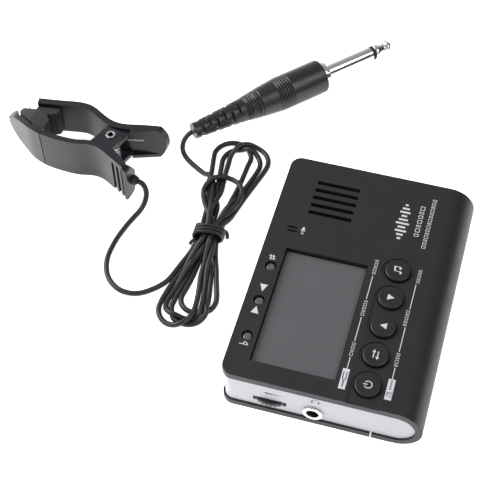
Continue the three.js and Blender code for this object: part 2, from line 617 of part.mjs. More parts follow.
// The spring's centreline: a leg in towards the pivot, a close coil round it, and a leg out again.
class SpringLine extends THREE.Curve {
  getPoint(t) {
    const { r, z0, z1, turns, start, leg, legShare } = SPRING;
    const u = THREE.MathUtils.clamp((t - legShare) / (1 - 2 * legShare), 0, 1);
    const a = THREE.MathUtils.degToRad(start) - turns * 2 * Math.PI * u;
    const past = Math.max(t - (1 - legShare), 0) - Math.max(legShare - t, 0);
    const reach = (past / legShare) * leg;
    const x = r * Math.cos(a) + reach * Math.sin(a);
    const y = r * Math.sin(a) - reach * Math.cos(a);
    return new THREE.Vector3(x, y, z0 + (z1 - z0) * u);
  }
}

function torsionSpring() {
  const wire = new THREE.Shape();
  for (let i = 0; i < 5; i++) {
    const a = (i * 2 * Math.PI) / 5;
    wire[i ? "lineTo" : "moveTo"](SPRING.wire * Math.cos(a), SPRING.wire * Math.sin(a));
  }
  return solid(new THREE.ExtrudeGeometry(wire, { steps: 84, extrudePath: new SpringLine() }));
}

function pivotRivet() {
  const { r, bore, flange } = PIVOT;
  const top = CLIP.height + 0.2;
  const profile = [
    [bore, 0.2], [flange, 0.2], [flange, 0.6], [r, 0.6],
    [r, top], [flange, top], [flange, top + 0.4], [bore, top + 0.4], [bore, 0.2],
  ];
  return turned(profile, 20);
}

function buildClip() {
  piece(clip, "clip_lower_arm", lowerArm(), MATERIAL.gloss);
  piece(clip, "clip_upper_arm", upperArm(), MATERIAL.gloss);
  piece(clip, "pickup_cover", pickupCover(), MATERIAL.gloss);
  const lowerRibs = [[-41, 0.6], [-38.5, 0.6], [-36, 0.6], [-33.5, 0.3]];
  const upperRibs = [[-36, 0.7], [-33.5, 0.8]];
  const lowerPad = jawPad(LOWER_PAD, lowerRibs, 1, CLIP.height - 1).intersect(jawEnd(1.5));
  piece(clip, "lower_jaw_pad", lowerPad, MATERIAL.rubber);
  piece(clip, "upper_jaw_pad", jawPad(UPPER_PAD, upperRibs, 4, 17), MATERIAL.rubber);
  piece(clip, "piezo_disc", piezo(4.5, 0.6, 0), MATERIAL.brass);
  piece(clip, "pivot_rivet", pivotRivet(), MATERIAL.chrome);
  piece(clip, "torsion_spring", torsionSpring(), MATERIAL.steel);
}

// The gland on the end wall of the lower arm, where the cord leaves the clip.
function cordGland() {
  const start = LOWER.endX + 2.5;
  const profile = [[0, start], [2.2, start], [1.6, GLAND_END], [0, GLAND_END]];
  return turned(profile, 16).rotate([0, 90, 0]).translate([0, -9.6, 9.5]);
}

function cordTube(route) {
  const section = new THREE.Shape();
  for (let i = 0; i < CORD_SIDES; i++) {
    const a = (i * 2 * Math.PI) / CORD_SIDES;
    section[i ? "lineTo" : "moveTo"](CORD_R * Math.cos(a), CORD_R * Math.sin(a));
  }
  const line = new THREE.CatmullRomCurve3(route.map((p) => new THREE.Vector3(...p)), false, "centripetal");
  const steps = Math.round(line.getLength() / (5 * CORD_R));
  return solid(new THREE.ExtrudeGeometry(section, { steps, extrudePath: line }));
}

function hank() {
  const points = HANK_OUTLINE.map(([x, y]) => new THREE.Vector2(x, y));
  const line = new THREE.SplineCurve([...points, points[0]]);
  return prism(new THREE.Shape(line.getPoints(40).slice(0, -1)), HANK.z0, HANK.z1);
}

// The tie is an arch over the hank, with its feet on the table.
function cordTie() {
  const { x0, x1, y0, y1, top, thick } = TIE;
  const arch = box(x0 - thick, x1 + thick, y0, y1, 0, top + thick);
  return cut(arch, box(x0, x1, y0 - 1, y1 + 1, -1, top));
}

// A turned piece of the plug: [radius, distance from the cord's end] pairs.
const plugPiece = (profile, sides) => turned(profile, sides).rotate([0, 90, 0]);

function plugRelief() {
  const end = PLUG.reliefEnd;
  return plugPiece([[0, 0], [3.3, 0], [3.5, 0.4], [4.2, end * 0.5], [5.2, end], [0, end]], 24);
}

function plugHandle() {
  const { reliefEnd, handleEnd } = PLUG;
  const start = reliefEnd + GAP;
  const profile = [
    [0, start], [5.3, start], [6.4, start + 8], [7.3, start + 15], [7.5, start + 19], [7.5, handleEnd - 1],
    [6.9, handleEnd], [0, handleEnd],
  ];
  return plugPiece(profile, 32);
}

// The jack's tip, by radius and distance back from its end.
const TIP_PROFILE = [
  [0, 10.3], [3.17, 10.3], [3.17, 8.6], [2.25, 5.6], [2.25, 5.1],
  [3.05, 3.9], [3.1, 3.3], [1.3, 0.5], [0.7, 0], [0, 0],
];

function plugTip() {
  return plugPiece(TIP_PROFILE.map(([r, back]) => [r, PLUG.tipEnd - back]), 24);
}

function buildCord() {
  const cord = new THREE.Group();
  piece(clip, "cord_gland", cordGland(), MATERIAL.rubber);
  piece(cord, "cord_clip_end", cordTube(CLIP_ROUTE), MATERIAL.cord);
  piece(cord, "cord_hank", hank(), MATERIAL.cord);
  piece(cord, "cord_plug_end", cordTube(PLUG_ROUTE), MATERIAL.cord);
  piece(cord, "cord_tie", cordTie(), MATERIAL.cord);
  const { handleEnd, collarEnd, tipEnd } = PLUG;
  const neck = tipEnd - 11.8;
  const sleeve = [
    [0, handleEnd + GAP], [5.2, handleEnd + GAP], [5.2, collarEnd - 0.4], [4.8, collarEnd], [3.18, collarEnd],
    [3.18, neck], [0, neck],
  ];
  const ring = [[0, neck + 0.05], [3.15, neck + 0.05], [3.15, neck + 1.4], [0, neck + 1.4]];
  piece(plug, "plug_relief", plugRelief(), MATERIAL.rubber);
  piece(plug, "plug_handle", plugHandle(), MATERIAL.gloss);
  piece(plug, "plug_sleeve", plugPiece(sleeve, 32), MATERIAL.chrome);
  piece(plug, "plug_insulator", plugPiece(ring, 24), MATERIAL.black);
  piece(plug, "plug_tip", plugTip(), MATERIAL.chrome);
  return cord;
}

buildTuner();
buildClip();
const cord = buildCord();

const part = new THREE.Group();
part.add(tuner, clip, cord, plug);

export default part;
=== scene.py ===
"""Looks of a pocket tuner and its clip-on pickup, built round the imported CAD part.

Lengths in the tables below are in millimetres in the part's frame; MM turns them into metres.
"""

import math

import bmesh
import bpy
import numpy as np
from mathutils import Matrix, Vector


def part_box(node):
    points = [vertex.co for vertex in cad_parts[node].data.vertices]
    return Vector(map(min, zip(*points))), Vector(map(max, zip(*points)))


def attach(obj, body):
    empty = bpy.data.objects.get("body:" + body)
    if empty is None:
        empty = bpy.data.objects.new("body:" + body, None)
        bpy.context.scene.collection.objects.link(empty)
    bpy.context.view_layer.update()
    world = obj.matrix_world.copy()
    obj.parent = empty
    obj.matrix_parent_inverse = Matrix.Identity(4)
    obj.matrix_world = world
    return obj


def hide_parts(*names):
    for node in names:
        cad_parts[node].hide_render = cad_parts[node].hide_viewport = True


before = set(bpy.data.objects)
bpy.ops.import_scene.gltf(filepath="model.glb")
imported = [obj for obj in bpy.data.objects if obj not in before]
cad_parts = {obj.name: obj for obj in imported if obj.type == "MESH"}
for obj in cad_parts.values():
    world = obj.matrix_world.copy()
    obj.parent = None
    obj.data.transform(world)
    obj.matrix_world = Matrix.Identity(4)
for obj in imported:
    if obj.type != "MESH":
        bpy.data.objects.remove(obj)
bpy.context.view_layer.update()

MM = 0.001
COVER_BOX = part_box("top_cover")
TOP = COVER_BOX[1].z  # the flat top of the tuner
WHITE_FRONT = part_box("inner_case")[0].y  # the face of the white front end
BUTTONS = ["note_button", "down_button", "up_button", "mode_button", "power_button"]
BUTTON_BODIES = ["note_key", "down_key", "up_key", "mode_key", "power_key"]
LAMPS = ["sharp_lamp", "in_tune_lamp", "flat_lamp"]

# The clip's and the plug's own frames: where they lie and how far they are turned
CLIP_AT, CLIP_TURN = Vector((-113.4, 44.2, 0)) * MM, math.radians(-10)
CLIP_FRAME = Matrix.Translation(CLIP_AT) @ Matrix.Rotation(CLIP_TURN, 4, "Z")
PLUG_AT, PLUG_TURN = Vector((-85, 65.7, 7.5)) * MM, math.radians(46)
PLUG_FRAME = Matrix.Translation(PLUG_AT) @ Matrix.Rotation(PLUG_TURN, 4, "Z")

CORD_R = 1.1
CLIP_ROUTE = [
    (-98, 31.75, 9.5), (-96, 31.25, 9.1), (-94.4, 30.2, 7.3), (-93.9, 28.6, 4.7), (-94.3, 26.2, 2.4),
    (-95.3, 23, 1.2), (-96.7, 19, 1.1), (-98.3, 13.5, 1.1), (-99.9, 5, 1.1), (-99.8, -3.8, 1.1),
    (-96.6, -11.4, 1.1), (-90.4, -16, 1.1), (-83.4, -16.1, 1.1), (-77.6, -12.4, 1.1), (-73.2, -7, 1.1),
]
PLUG_ROUTE = [
    (-75.7, 49.6, 1.1), (-79.2, 51.6, 1.1), (-83, 54, 1.1), (-86.3, 56.6, 1.6), (-88, 59.1, 3.2),
    (-88, 61.5, 5.2), (-86.8, 63.6, 6.9), (-85.3, 65.4, 7.5),
]
TIE_Y = 17.5
TIE_LIFT = 1.1  # the tie's wire runs under the strands, so they lie this much higher there
# The strands in the tie, in the order that the cord takes them: x, and the layer that it lies in
TIE_SLOTS = [
    (-66.7, 0), (-59.8, 0), (-64.4, 0), (-62.1, 0), (-65.6, 1), (-61.0, 1), (-63.3, 1),
    (-62.1, 2), (-64.4, 2),
]
# The hank's loops in the same order, alternately above and below the tie: centre x and y, radius
LOOPS = [
    (-66.4, 61.2, 8.0), (-58.8, -11.8, 7.0), (-61.8, 58.4, 8.1), (-61.2, -17.6, 7.2),
    (-59.2, 60.4, 8.5), (-63.1, -15.6, 7.4), (-64.6, 40.6, 8.0), (-65.2, -19.4, 7.0),
]


# ---------------------------------------------------------------- camera and light


# The camera that was fitted to the photo: azimuth, elevation and roll in degrees, the point that it looks at,
# its distance in metres, and its focal length and sensor in millimetres
CAMERA_TURN = (17.21, 53.54, -1.46)
CAMERA_TARGET = (-47.86, 19.61, 0)
CAMERA_DISTANCE, LENS, SENSOR = 0.50976, 91.43, 36


def camera():
    azimuth, elevation, roll = (math.radians(a) for a in CAMERA_TURN)
    level = math.cos(elevation)
    back = Vector((math.sin(azimuth) * level, -math.cos(azimuth) * level, math.sin(elevation)))
    right = Vector((math.cos(azimuth), math.sin(azimuth), 0))
    up = back.cross(right)
    side = right * math.cos(roll) + up * math.sin(roll)
    head = up * math.cos(roll) - right * math.sin(roll)
    data = bpy.data.cameras.new("camera")
    data.sensor_width, data.lens = SENSOR, LENS
    data.clip_start, data.clip_end = 0.01, 20
    cam = bpy.data.objects.new("camera", data)
    bpy.context.scene.collection.objects.link(cam)
    turn = Matrix((side, head, back)).transposed().to_4x4()
    cam.matrix_world = Matrix.Translation(Vector(CAMERA_TARGET) * MM + back * CAMERA_DISTANCE) @ turn
    bpy.context.scene.camera = cam


def softbox(name, place, size, power, aim=Vector((-0.03, 0.01, 0)), colour=(1, 1, 1)):
    data = bpy.data.lights.new(name, "AREA")
    data.shape, data.size, data.size_y = "RECTANGLE", size[0], size[1]
    data.energy, data.color = power, colour
    lamp = bpy.data.objects.new(name, data)
    bpy.context.scene.collection.objects.link(lamp)
    lamp.location = place
    lamp.rotation_mode = "QUATERNION"
    lamp.rotation_quaternion = (aim - Vector(place)).to_track_quat("-Z", "Y")


SKY_LOW, SKY_HIGH = 0.75, 0.35  # the sky's strength near the horizon and overhead


def sky(world):
    """The room's light: bright near the horizon, dim overhead and dark to the right, where a black
    screen stands."""
    tree = world.node_tree
    ray = tree.nodes.new("ShaderNodeTexCoord")
    split = tree.nodes.new("ShaderNodeSeparateXYZ")
    tree.links.new(ray.outputs["Generated"], split.inputs["Vector"])
    height = ramp(tree, split.outputs["Z"], SKY_LOW, SKY_HIGH, 0.3, 0.8)
    screen = ramp(tree, split.outputs["X"], 1, 0.12, 0.25, 0.6)
    both = tree.nodes.new("ShaderNodeMath")
    both.operation = "MULTIPLY"
    tree.links.new(height, both.inputs[0])
    tree.links.new(screen, both.inputs[1])
    tree.links.new(both.outputs["Value"], tree.nodes["Background"].inputs["Strength"])
    tree.nodes["Background"].inputs["Color"].default_value = (0.95, 0.97, 1, 1)


FLOOR_HALF, FLOOR_DROP = 3, 0.00005  # metres; the drop keeps the floor clear of what rests on it
FLOOR_GLOW = 0.85  # the paper's own light, which keeps it as white as in the photo


def studio():
    bpy.context.scene.view_settings.view_transform = "Standard"
    world = bpy.data.worlds.new("studio")
    bpy.context.scene.world = world
    world.use_nodes = True
    sky(world)
    softbox("key", (-0.75, 0.1, 0.6), (0.7, 0.7), 9)
    softbox("fill", (0.7, -0.5, 0.6), (0.6, 0.6), 1)
    softbox("plug_glint", (0.48, -0.03, 0.72), (0.45, 0.45), 2.2)
    mesh = bpy.data.meshes.new("floor")
    half = FLOOR_HALF
    corners = [(-half, -half, 0), (half, -half, 0), (half, half, 0), (-half, half, 0)]
    mesh.from_pydata(corners, [], [(0, 1, 2, 3)])
    floor = bpy.data.objects.new("floor", mesh)
    bpy.context.scene.collection.objects.link(floor)
    floor.location.z = -FLOOR_DROP
    material, shader, _ = new_material("floor_paper")
    shader.inputs["Base Color"].default_value = (0.93, 0.93, 0.94, 1)
    shader.inputs["Roughness"].default_value = 0.9
    shader.inputs["Emission Color"].default_value = (1, 1, 1, 1)
    shader.inputs["Emission Strength"].default_value = FLOOR_GLOW
    mesh.materials.append(material)


# ---------------------------------------------------------------- materials


def new_material(name):
    material = bpy.data.materials.new(name)
    material.use_nodes = True
    tree = material.node_tree
    return material, tree.nodes["Principled BSDF"], tree


def noise(tree, scale, detail=3, roughness=0.55):
    """A noise in object space; scale is in features per metre."""
    place = tree.nodes.new("ShaderNodeTexCoord")
    node = tree.nodes.new("ShaderNodeTexNoise")
    node.inputs["Scale"].default_value = scale
    node.inputs["Detail"].default_value = detail
    node.inputs["Roughness"].default_value = roughness
    tree.links.new(place.outputs["Object"], node.inputs["Vector"])
    return node.outputs["Fac"]


def ramp(tree, value, low, high, start=0.3, end=0.7):
    node = tree.nodes.new("ShaderNodeMapRange")
    for name, number in (("From Min", start), ("From Max", end), ("To Min", low), ("To Max", high)):
        node.inputs[name].default_value = number
    tree.links.new(value, node.inputs["Value"])
    return node.outputs["Result"]


def blend_colour(tree, factor, a, b):
    node = tree.nodes.new("ShaderNodeMix")
    node.data_type = "RGBA"
    node.inputs["A"].default_value = (*a, 1)
    node.inputs["B"].default_value = (*b, 1)
    tree.links.new(factor, node.inputs["Factor"])
    return node.outputs["Result"]


def bump(tree, shader, height, strength, distance):
    node = tree.nodes.new("ShaderNodeBump")
    node.inputs["Strength"].default_value = strength
    node.inputs["Distance"].default_value = distance
    tree.links.new(height, node.inputs["Height"])
    tree.links.new(node.outputs["Normal"], shader.inputs["Normal"])


def surface(name, colour, roughness, grain=9000, depth=0.00001, vary=0.12, metallic=0.0, coat=0.0,
            coat_rough=0.1, specular=0.5, rough_scale=60):
    """A moulded or metal surface: two close tones, uneven roughness and a fine grain."""
    material, shader, tree = new_material(name)
    patches = ramp(tree, noise(tree, rough_scale), 0, 1)
    lighter = tuple(min(c * (1 + vary), 1) for c in colour)
    darker = tuple(c * (1 - vary) for c in colour)
    tree.links.new(blend_colour(tree, patches, darker, lighter), shader.inputs["Base Color"])
    uneven = ramp(tree, noise(tree, rough_scale * 2.3), roughness * 0.9, roughness * 1.1)
    tree.links.new(uneven, shader.inputs["Roughness"])
    shader.inputs["Metallic"].default_value = metallic
    shader.inputs["Coat Weight"].default_value = coat
    shader.inputs["Coat Roughness"].default_value = coat_rough
    shader.inputs["Specular IOR Level"].default_value = specular
    if depth:
        bump(tree, shader, noise(tree, grain, 2), 0.35, depth)
    return material


def brushed(name, colour, roughness):
    """Turned metal: noise stretched across the plug's axis makes fine rings."""
    material, shader, tree = new_material(name)
    place = tree.nodes.new("ShaderNodeTexCoord")
    stretch = tree.nodes.new("ShaderNodeMapping")
    stretch.inputs["Rotation"].default_value = (0, 0, -PLUG_TURN)
    stretch.inputs["Scale"].default_value = (6000, 120, 120)
    lines = tree.nodes.new("ShaderNodeTexNoise")
    lines.inputs["Scale"].default_value = 1
    tree.links.new(place.outputs["Object"], stretch.inputs["Vector"])
    tree.links.new(stretch.outputs["Vector"], lines.inputs["Vector"])
    shader.inputs["Base Color"].default_value = (*colour, 1)
    shader.inputs["Metallic"].default_value = 1
    uneven = ramp(tree, lines.outputs["Fac"], roughness * 0.7, roughness * 1.4)
    tree.links.new(uneven, shader.inputs["Roughness"])
    bump(tree, shader, lines.outputs["Fac"], 0.15, 0.000005)
    return material


MATERIAL = {
    "shell": surface("shell_satin_black", (0.017, 0.017, 0.019), 0.4, grain=7000, depth=0.000014, vary=0.06,
                     specular=0.4),
    "button": surface("button_black", (0.01, 0.01, 0.011), 0.42, grain=9000, depth=0.000008, vary=0.05),
    "case": surface("case_white", (0.54, 0.53, 0.57), 0.45, depth=0.000008, vary=0.02),
    "window": surface("window_grey", (0.1, 0.1, 0.106), 0.25, depth=0, vary=0.03),
    "panel": surface("display_glass", (0.2, 0.21, 0.2), 0.2, depth=0, vary=0.04),
    "dark": surface("inner_black", (0.008, 0.008, 0.009), 0.7),
    "board": surface("circuit_green", (0.01, 0.09, 0.035), 0.5, vary=0.25, rough_scale=400),
    "lamp": surface("lamp_smoke", (0.1, 0.1, 0.105), 0.3, depth=0, vary=0.05, coat=0.6),
    "steel": surface("plated_steel", (0.6, 0.6, 0.61), 0.28, metallic=1, vary=0.06),
    "cell": surface("cell_wrap", (0.03, 0.08, 0.2), 0.35, vary=0.1),
    "clip": surface("clip_gloss_black", (0.012, 0.0115, 0.0155), 0.34, grain=5000, depth=0.000008,
                    vary=0.08, coat=0.2, coat_rough=0.22, specular=0.35),
    "pad": surface("jaw_rubber", (0.02, 0.02, 0.021), 0.75, grain=3000, depth=0.00004),
    "brass": surface("disc_brass", (0.62, 0.42, 0.16), 0.35, metallic=1),
    "chrome": surface("chrome_plate", (0.78, 0.78, 0.79), 0.09, metallic=1, depth=0, vary=0.02),
    "sleeve": brushed("chrome_turned", (0.8, 0.8, 0.81), 0.13),
    "cord": surface("cord_jacket", (0.009, 0.009, 0.0105), 0.45, grain=2600, depth=0.00003, vary=0.15,
                    rough_scale=220),
    "plug": surface("plug_black", (0.010, 0.010, 0.012), 0.36, grain=5000, depth=0.00001, vary=0.1,
                    coat=0.2, coat_rough=0.3),
    "print": surface("white_print", (0.6, 0.6, 0.62), 0.55, depth=0, vary=0.03),
    "ink": surface("grey_ink", (0.05, 0.05, 0.06), 0.6, depth=0, vary=0.05),
}

NODE_MATERIAL = {
    "lcd_panel": "panel", "lcd_holder": "dark", "main_board": "board", "speaker_frame": "steel",
    "speaker_cone": "dark", "speaker_magnet": "steel", "mic_capsule": "dark", "volume_control": "steel",
    "phones_jack": "dark", "input_jack": "dark", "cell_1": "cell", "cell_2": "cell",
    "front_contacts": "steel", "rear_contacts": "steel", "stand_pin_front": "steel",
    "stand_pin_rear": "steel", "piezo_disc": "brass",
}
NODE_MATERIAL.update({f"switch_{i}": "steel" for i in range(1, 6)})
NODE_MATERIAL.update({f"case_screw_{i}": "steel" for i in range(1, 5)})


def paint_nodes():
    for node, key in NODE_MATERIAL.items():
        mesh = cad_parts[node].data
        mesh.materials.clear()
        mesh.materials.append(MATERIAL[key])


# ---------------------------------------------------------------- making pieces


def add_piece(name, data, key, body, replaces=()):
    obj = bpy.data.objects.new(name, data)
    bpy.context.scene.collection.objects.link(obj)
    data.materials.clear()
    data.materials.append(MATERIAL[key])
    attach(obj, body)
    if replaces:
        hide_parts(*replaces)
    return obj


def wire(name, points, radius, key, body, replaces=()):
    """A round wire along points in millimetres."""
    data = bpy.data.curves.new(name, "CURVE")
    data.dimensions = "3D"
    data.bevel_depth, data.bevel_resolution = radius * MM, 4
    data.use_fill_caps = True
    spline = data.splines.new("POLY")
    spline.points.add(len(points) - 1)
    for point, place in zip(spline.points, points):
        point.co = (*(Vector(place) * MM), 1)
    return add_piece(name, data, key, body, replaces)


def finished(bm, name, smooth_angle=35):
    mesh = bpy.data.meshes.new(name)
    bm.to_mesh(mesh)
    bm.free()
    for face in mesh.polygons:
        face.use_smooth = True
    mesh.set_sharp_from_angle(angle=math.radians(smooth_angle))
    return mesh


def is_corner(edge, angle):
    return len(edge.link_faces) == 2 and edge.calc_face_angle(0) > math.radians(angle)


def round_edges(bm, edges, width, segments=2):
    bmesh.ops.bevel(bm, geom=edges, offset=width * MM, segments=segments, profile=0.5, affect="EDGES",
                    clamp_overlap=True)


def softened(node, key, body, width, segments=2, first=None, first_width=0, angle=28):
    """A copy of a CAD node with its edges rounded; the edges that first picks get a larger radius."""
    bm = bmesh.new()
    bm.from_mesh(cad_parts[node].data)
    bmesh.ops.remove_doubles(bm, verts=bm.verts, dist=2e-6)
    bmesh.ops.dissolve_limit(bm, angle_limit=math.radians(0.6), verts=bm.verts, edges=bm.edges)
    if first:
        round_edges(bm, [e for e in bm.edges if is_corner(e, angle) and first(e)], first_width, 4)
    small = [e for e in bm.edges if is_corner(e, angle)]
    round_edges(bm, small, width, segments)
    bmesh.ops.remove_doubles(bm, verts=bm.verts, dist=1e-6)
    piece = add_piece(node + "_fine", finished(bm, node + "_fine"), key, body, [node])
    even = piece.modifiers.new("even_shading", "WEIGHTED_NORMAL")
    even.keep_sharp = True


def turned_mesh(name, profile, place, sides=72, smooth_angle=40):
    """A turned piece. The profile's pairs, radius and distance along the axis in millimetres, start and end
    on the axis; place maps the piece's frame, whose axis is Z, to the part's."""
    bm = bmesh.new()
    rings = []
    for radius, along in profile:
        if radius == 0:
            rings.append([bm.verts.new(place @ Vector((0, 0, along * MM)))])
            continue
        ring = []
        for i in range(sides):
            a = 2 * math.pi * i / sides
            point = Vector((radius * math.cos(a), radius * math.sin(a), along)) * MM
            ring.append(bm.verts.new(place @ point))
        rings.append(ring)
    join_rings(bm, rings, sides)
    bmesh.ops.recalc_face_normals(bm, faces=bm.faces)
    return finished(bm, name, smooth_angle)


def join_rings(bm, rings, sides):
    for low, high in zip(rings, rings[1:]):
        for i in range(sides):
            j = (i + 1) % sides
            if len(low) == 1:
                bm.faces.new((low[0], high[j], high[i]))
            elif len(high) == 1:
                bm.faces.new((low[i], low[j], high[0]))
            else:
                bm.faces.new((low[i], low[j], high[j], high[i]))


def arc(centre_r, centre_z, radius, start, end, steps=5):
    """Profile points on a rounded edge, angles in degrees from the outward radius."""
    angles = [math.radians(start + (end - start) * i / steps) for i in range(steps + 1)]
    return [(centre_r + radius * math.cos(a), centre_z + radius * math.sin(a)) for a in angles]


# Flat marks: shapes in a small plane of their own, raised a hair's breadth from the surface that they are
# printed on. They start a little under it, and shapes that may cross differ by a small step.
PRINT_THICK, PRINT_SINK, PRINT_STEP = 0.03, 0.01, 0.002


def disc(x, y, r, sides=24):
    angles = [2 * math.pi * i / sides for i in range(sides)]
    ring = [(x + r * math.cos(a), y + r * math.sin(a)) for a in angles]
    return ring, [tuple(range(sides))]


def polygon(points):
    return list(points), [tuple(range(len(points)))]


def block(x0, x1, y0, y1):
    return polygon([(x0, y0), (x1, y0), (x1, y1), (x0, y1)])


def ribbon(points, width, closed=False):
    """A line of even width through the points."""
    p = np.array(points, float)
    count = len(p)
    before = p[np.arange(count) - 1]
    after = p[(np.arange(count) + 1) % count]
    if not closed:
        before[0], after[-1] = p[0] - (p[1] - p[0]), p[-1] + (p[-1] - p[-2])
    along = (p - before) / np.linalg.norm(p - before, axis=1)[:, None]
    along += (after - p) / np.linalg.norm(after - p, axis=1)[:, None]
    along /= np.linalg.norm(along, axis=1)[:, None]
    side = np.stack([-along[:, 1], along[:, 0]], 1) * width / 2
    points = [tuple(q) for q in np.concatenate([p - side, p + side])]
    last = count if closed else count - 1
    quads = [(i, (i + 1) % count, count + (i + 1) % count, count + i) for i in range(last)]
    return points, quads


def curve_points(x, y, rx, ry, start, end, steps):
    angles = [math.radians(start + (end - start) * i / steps) for i in range(steps + 1)]
    return [(x + rx * math.cos(a), y + ry * math.sin(a)) for a in angles]


def flat_on_top(x, y, z, turned=True):
    """A plane on the tuner's top, centred on (x, y). Turned marks read towards the rear, with their
    heads to the left."""
    if turned:
        return lambda u, v, h: Vector((x - v, y + u, z + h)) * MM
    return lambda u, v, h: Vector((x + u, y + v, z + h)) * MM


def flat_on_front(x, z):
    front = WHITE_FRONT / MM
    return lambda u, v, h: Vector((x + u, front - h, z + v)) * MM


def marks(name, shapes, plane, key, body):
    """One piece of print. Shapes that follow one another are raised by slightly different amounts, so that
    faces that cross share no plane."""
    bm = bmesh.new()
    for number, (points, faces) in enumerate(shapes):
        height = PRINT_THICK + PRINT_STEP * (number % 5)
        low = [bm.verts.new(plane(u, v, -PRINT_SINK)) for u, v in points]
        high = [bm.verts.new(plane(u, v, height)) for u, v in points]
        used = {}
        for face in faces:
            bm.faces.new([high[i] for i in face])
            bm.faces.new([low[i] for i in reversed(face)])
            for a, b in zip(face, face[1:] + face[:1]):
                used[(a, b)] = True
        for a, b in used:
            if (b, a) not in used:
                bm.faces.new((low[a], low[b], high[b], high[a]))
    bmesh.ops.recalc_face_normals(bm, faces=bm.faces)
    return add_piece(name, finished(bm, name), key, body)


# ---------------------------------------------------------------- cord and hank


SAMPLES = 24  # between two given points


def smooth_line(points, step):
    """Points a step apart on a smooth curve through the given ones, which may be unevenly spaced."""
    p = np.array(points, float)
    ends = np.vstack([2 * p[0] - p[1], p, 2 * p[-1] - p[-2]])
    dense = []
    for a, b, c, d in zip(ends, ends[1:], ends[2:], ends[3:]):
        first = math.sqrt(np.linalg.norm(b - a))
        second = first + math.sqrt(np.linalg.norm(c - b))
        third = second + math.sqrt(np.linalg.norm(d - c))
        for t in np.linspace(first, second, SAMPLES, endpoint=False):
            before = a + (b - a) * t / first
            middle = b + (c - b) * (t - first) / (second - first)
            after = c + (d - c) * (t - second) / (third - second)
            low = before + (middle - before) * t / second
            high = middle + (after - middle) * (t - first) / (third - first)
            dense.append(low + (high - low) * (t - first) / (second - first))
    dense.append(p[-1])
    dense = np.array(dense)
    run = np.concatenate([[0], np.cumsum(np.linalg.norm(np.diff(dense, axis=0), axis=1))])
    at = np.linspace(0, run[-1], max(2, round(run[-1] / step) + 1))
    return np.stack([np.interp(at, run, dense[:, k]) for k in range(3)], 1)


HANK_IN = [(-70.2, 2.5, 1.1)]
HANK_OUT = [(-66, 30, 8), (-68, 38.5, 7), (-70.4, 44.8, 5.2), (-72.8, 47.9, 3)]
TIE_LAYER, LOOP_LAYER = 2.0, 2.2  # how much higher each next layer lies in the tie and in the loops
LOOP_START, LOOP_SWEEP, LOOP_STEPS = 16, 212, 10  # degrees round a loop below the tie, and its steps


def hank_guide():
    """The cord's way through the tie and round the loops, before it settles."""
    points = list(HANK_IN)
    for number, (slot_x, layer) in enumerate(TIE_SLOTS):
        up = 1 if number % 2 == 0 else -1
        z = CORD_R + TIE_LIFT + TIE_LAYER * layer
        points += [(slot_x, TIE_Y - 3 * up, z), (slot_x, TIE_Y + 3 * up, z)]
        if number == len(LOOPS):
            break
        x, y, radius = LOOPS[number]
        height = CORD_R + LOOP_LAYER * (number // 2)
        start = LOOP_START + (180 if up > 0 else 0)
        angles = [math.radians(start - LOOP_SWEEP * i / LOOP_STEPS) for i in range(LOOP_STEPS + 1)]
        points += [(x + radius * math.cos(a), y + radius * math.sin(a), height) for a in angles]
    return points + HANK_OUT


def floor_under(line):
    """The tie's wire holds the strands off the table."""
    near = np.clip(1 - (np.abs(line[:, 1] - TIE_Y) - 3.5) / 6, 0, 1)
    in_tie = (line[:, 0] > -71) & (line[:, 0] < -55)
    return CORD_R + TIE_LIFT * near * in_tie


ROUNDS, QUICK_ROUNDS = 420, 60
HELD_AT_CLIP, HELD_AT_PLUG = 24, 14  # points at either end that keep to the route
HOLD_IN_TIE, HOLD = 0.3, 0.012  # how strongly a point is drawn back to its place on the table, each round
FALL, SMOOTH, TAUT, PUSH = 0.03, 0.22, 0.45, 0.3  # each round's fall in millimetres, and shares put right


def settle(line, rounds):
    """The cord comes down under its own weight: it keeps its length, stays smooth and rests on the table
    and on itself."""
    guide = line.copy()
    count = len(line)
    step = np.linalg.norm(np.diff(line, axis=0), axis=1).mean()
    free = np.ones(count, bool)
    free[:HELD_AT_CLIP] = free[-HELD_AT_PLUG:] = False
    line[:, 2] = np.maximum(line[:, 2], CORD_R)
    in_tie = np.abs(line[:, 1] - TIE_Y) < 3.5
    hold = np.where(in_tie, HOLD_IN_TIE, HOLD)[:, None]
    index = np.arange(count)
    apart = np.abs(index[:, None] - index[None, :]) > 3
    width = 2.04 * CORD_R
    for _ in range(rounds):
        old = line.copy()
        line[:, :2] += hold * (guide[:, :2] - line[:, :2])
        line[:, 2] -= FALL
        moved = line - guide
        line[1:-1] += SMOOTH * (0.5 * (moved[:-2] + moved[2:]) - moved[1:-1])
        between = np.diff(line, axis=0)
        far = np.linalg.norm(between, axis=1)[:, None]
        pull = TAUT * (far - step) / far * between
        line[:-1] += pull
        line[1:] -= pull
        for _ in range(2):
            gap = line[:, None, :] - line[None, :, :]
            far = np.sqrt((gap**2).sum(2)) + 1e-9
            push = np.where(apart & (far < width), (width - far) * PUSH / far, 0)
            line += (gap * push[:, :, None]).sum(1)
        line[:, 2] = np.maximum(line[:, 2], floor_under(line))
        line[~free] = old[~free]
    return line


def add_cord():
    route = smooth_line(CLIP_ROUTE + hank_guide() + PLUG_ROUTE, 2.0)
    line = smooth_line(settle(route, ROUNDS), 0.9)
    line[:, 2] = np.maximum(line[:, 2], CORD_R)
    replaced = ["cord_clip_end", "cord_hank", "cord_plug_end"]
    return wire("cord", line, CORD_R, "cord", "pickup", replaced)


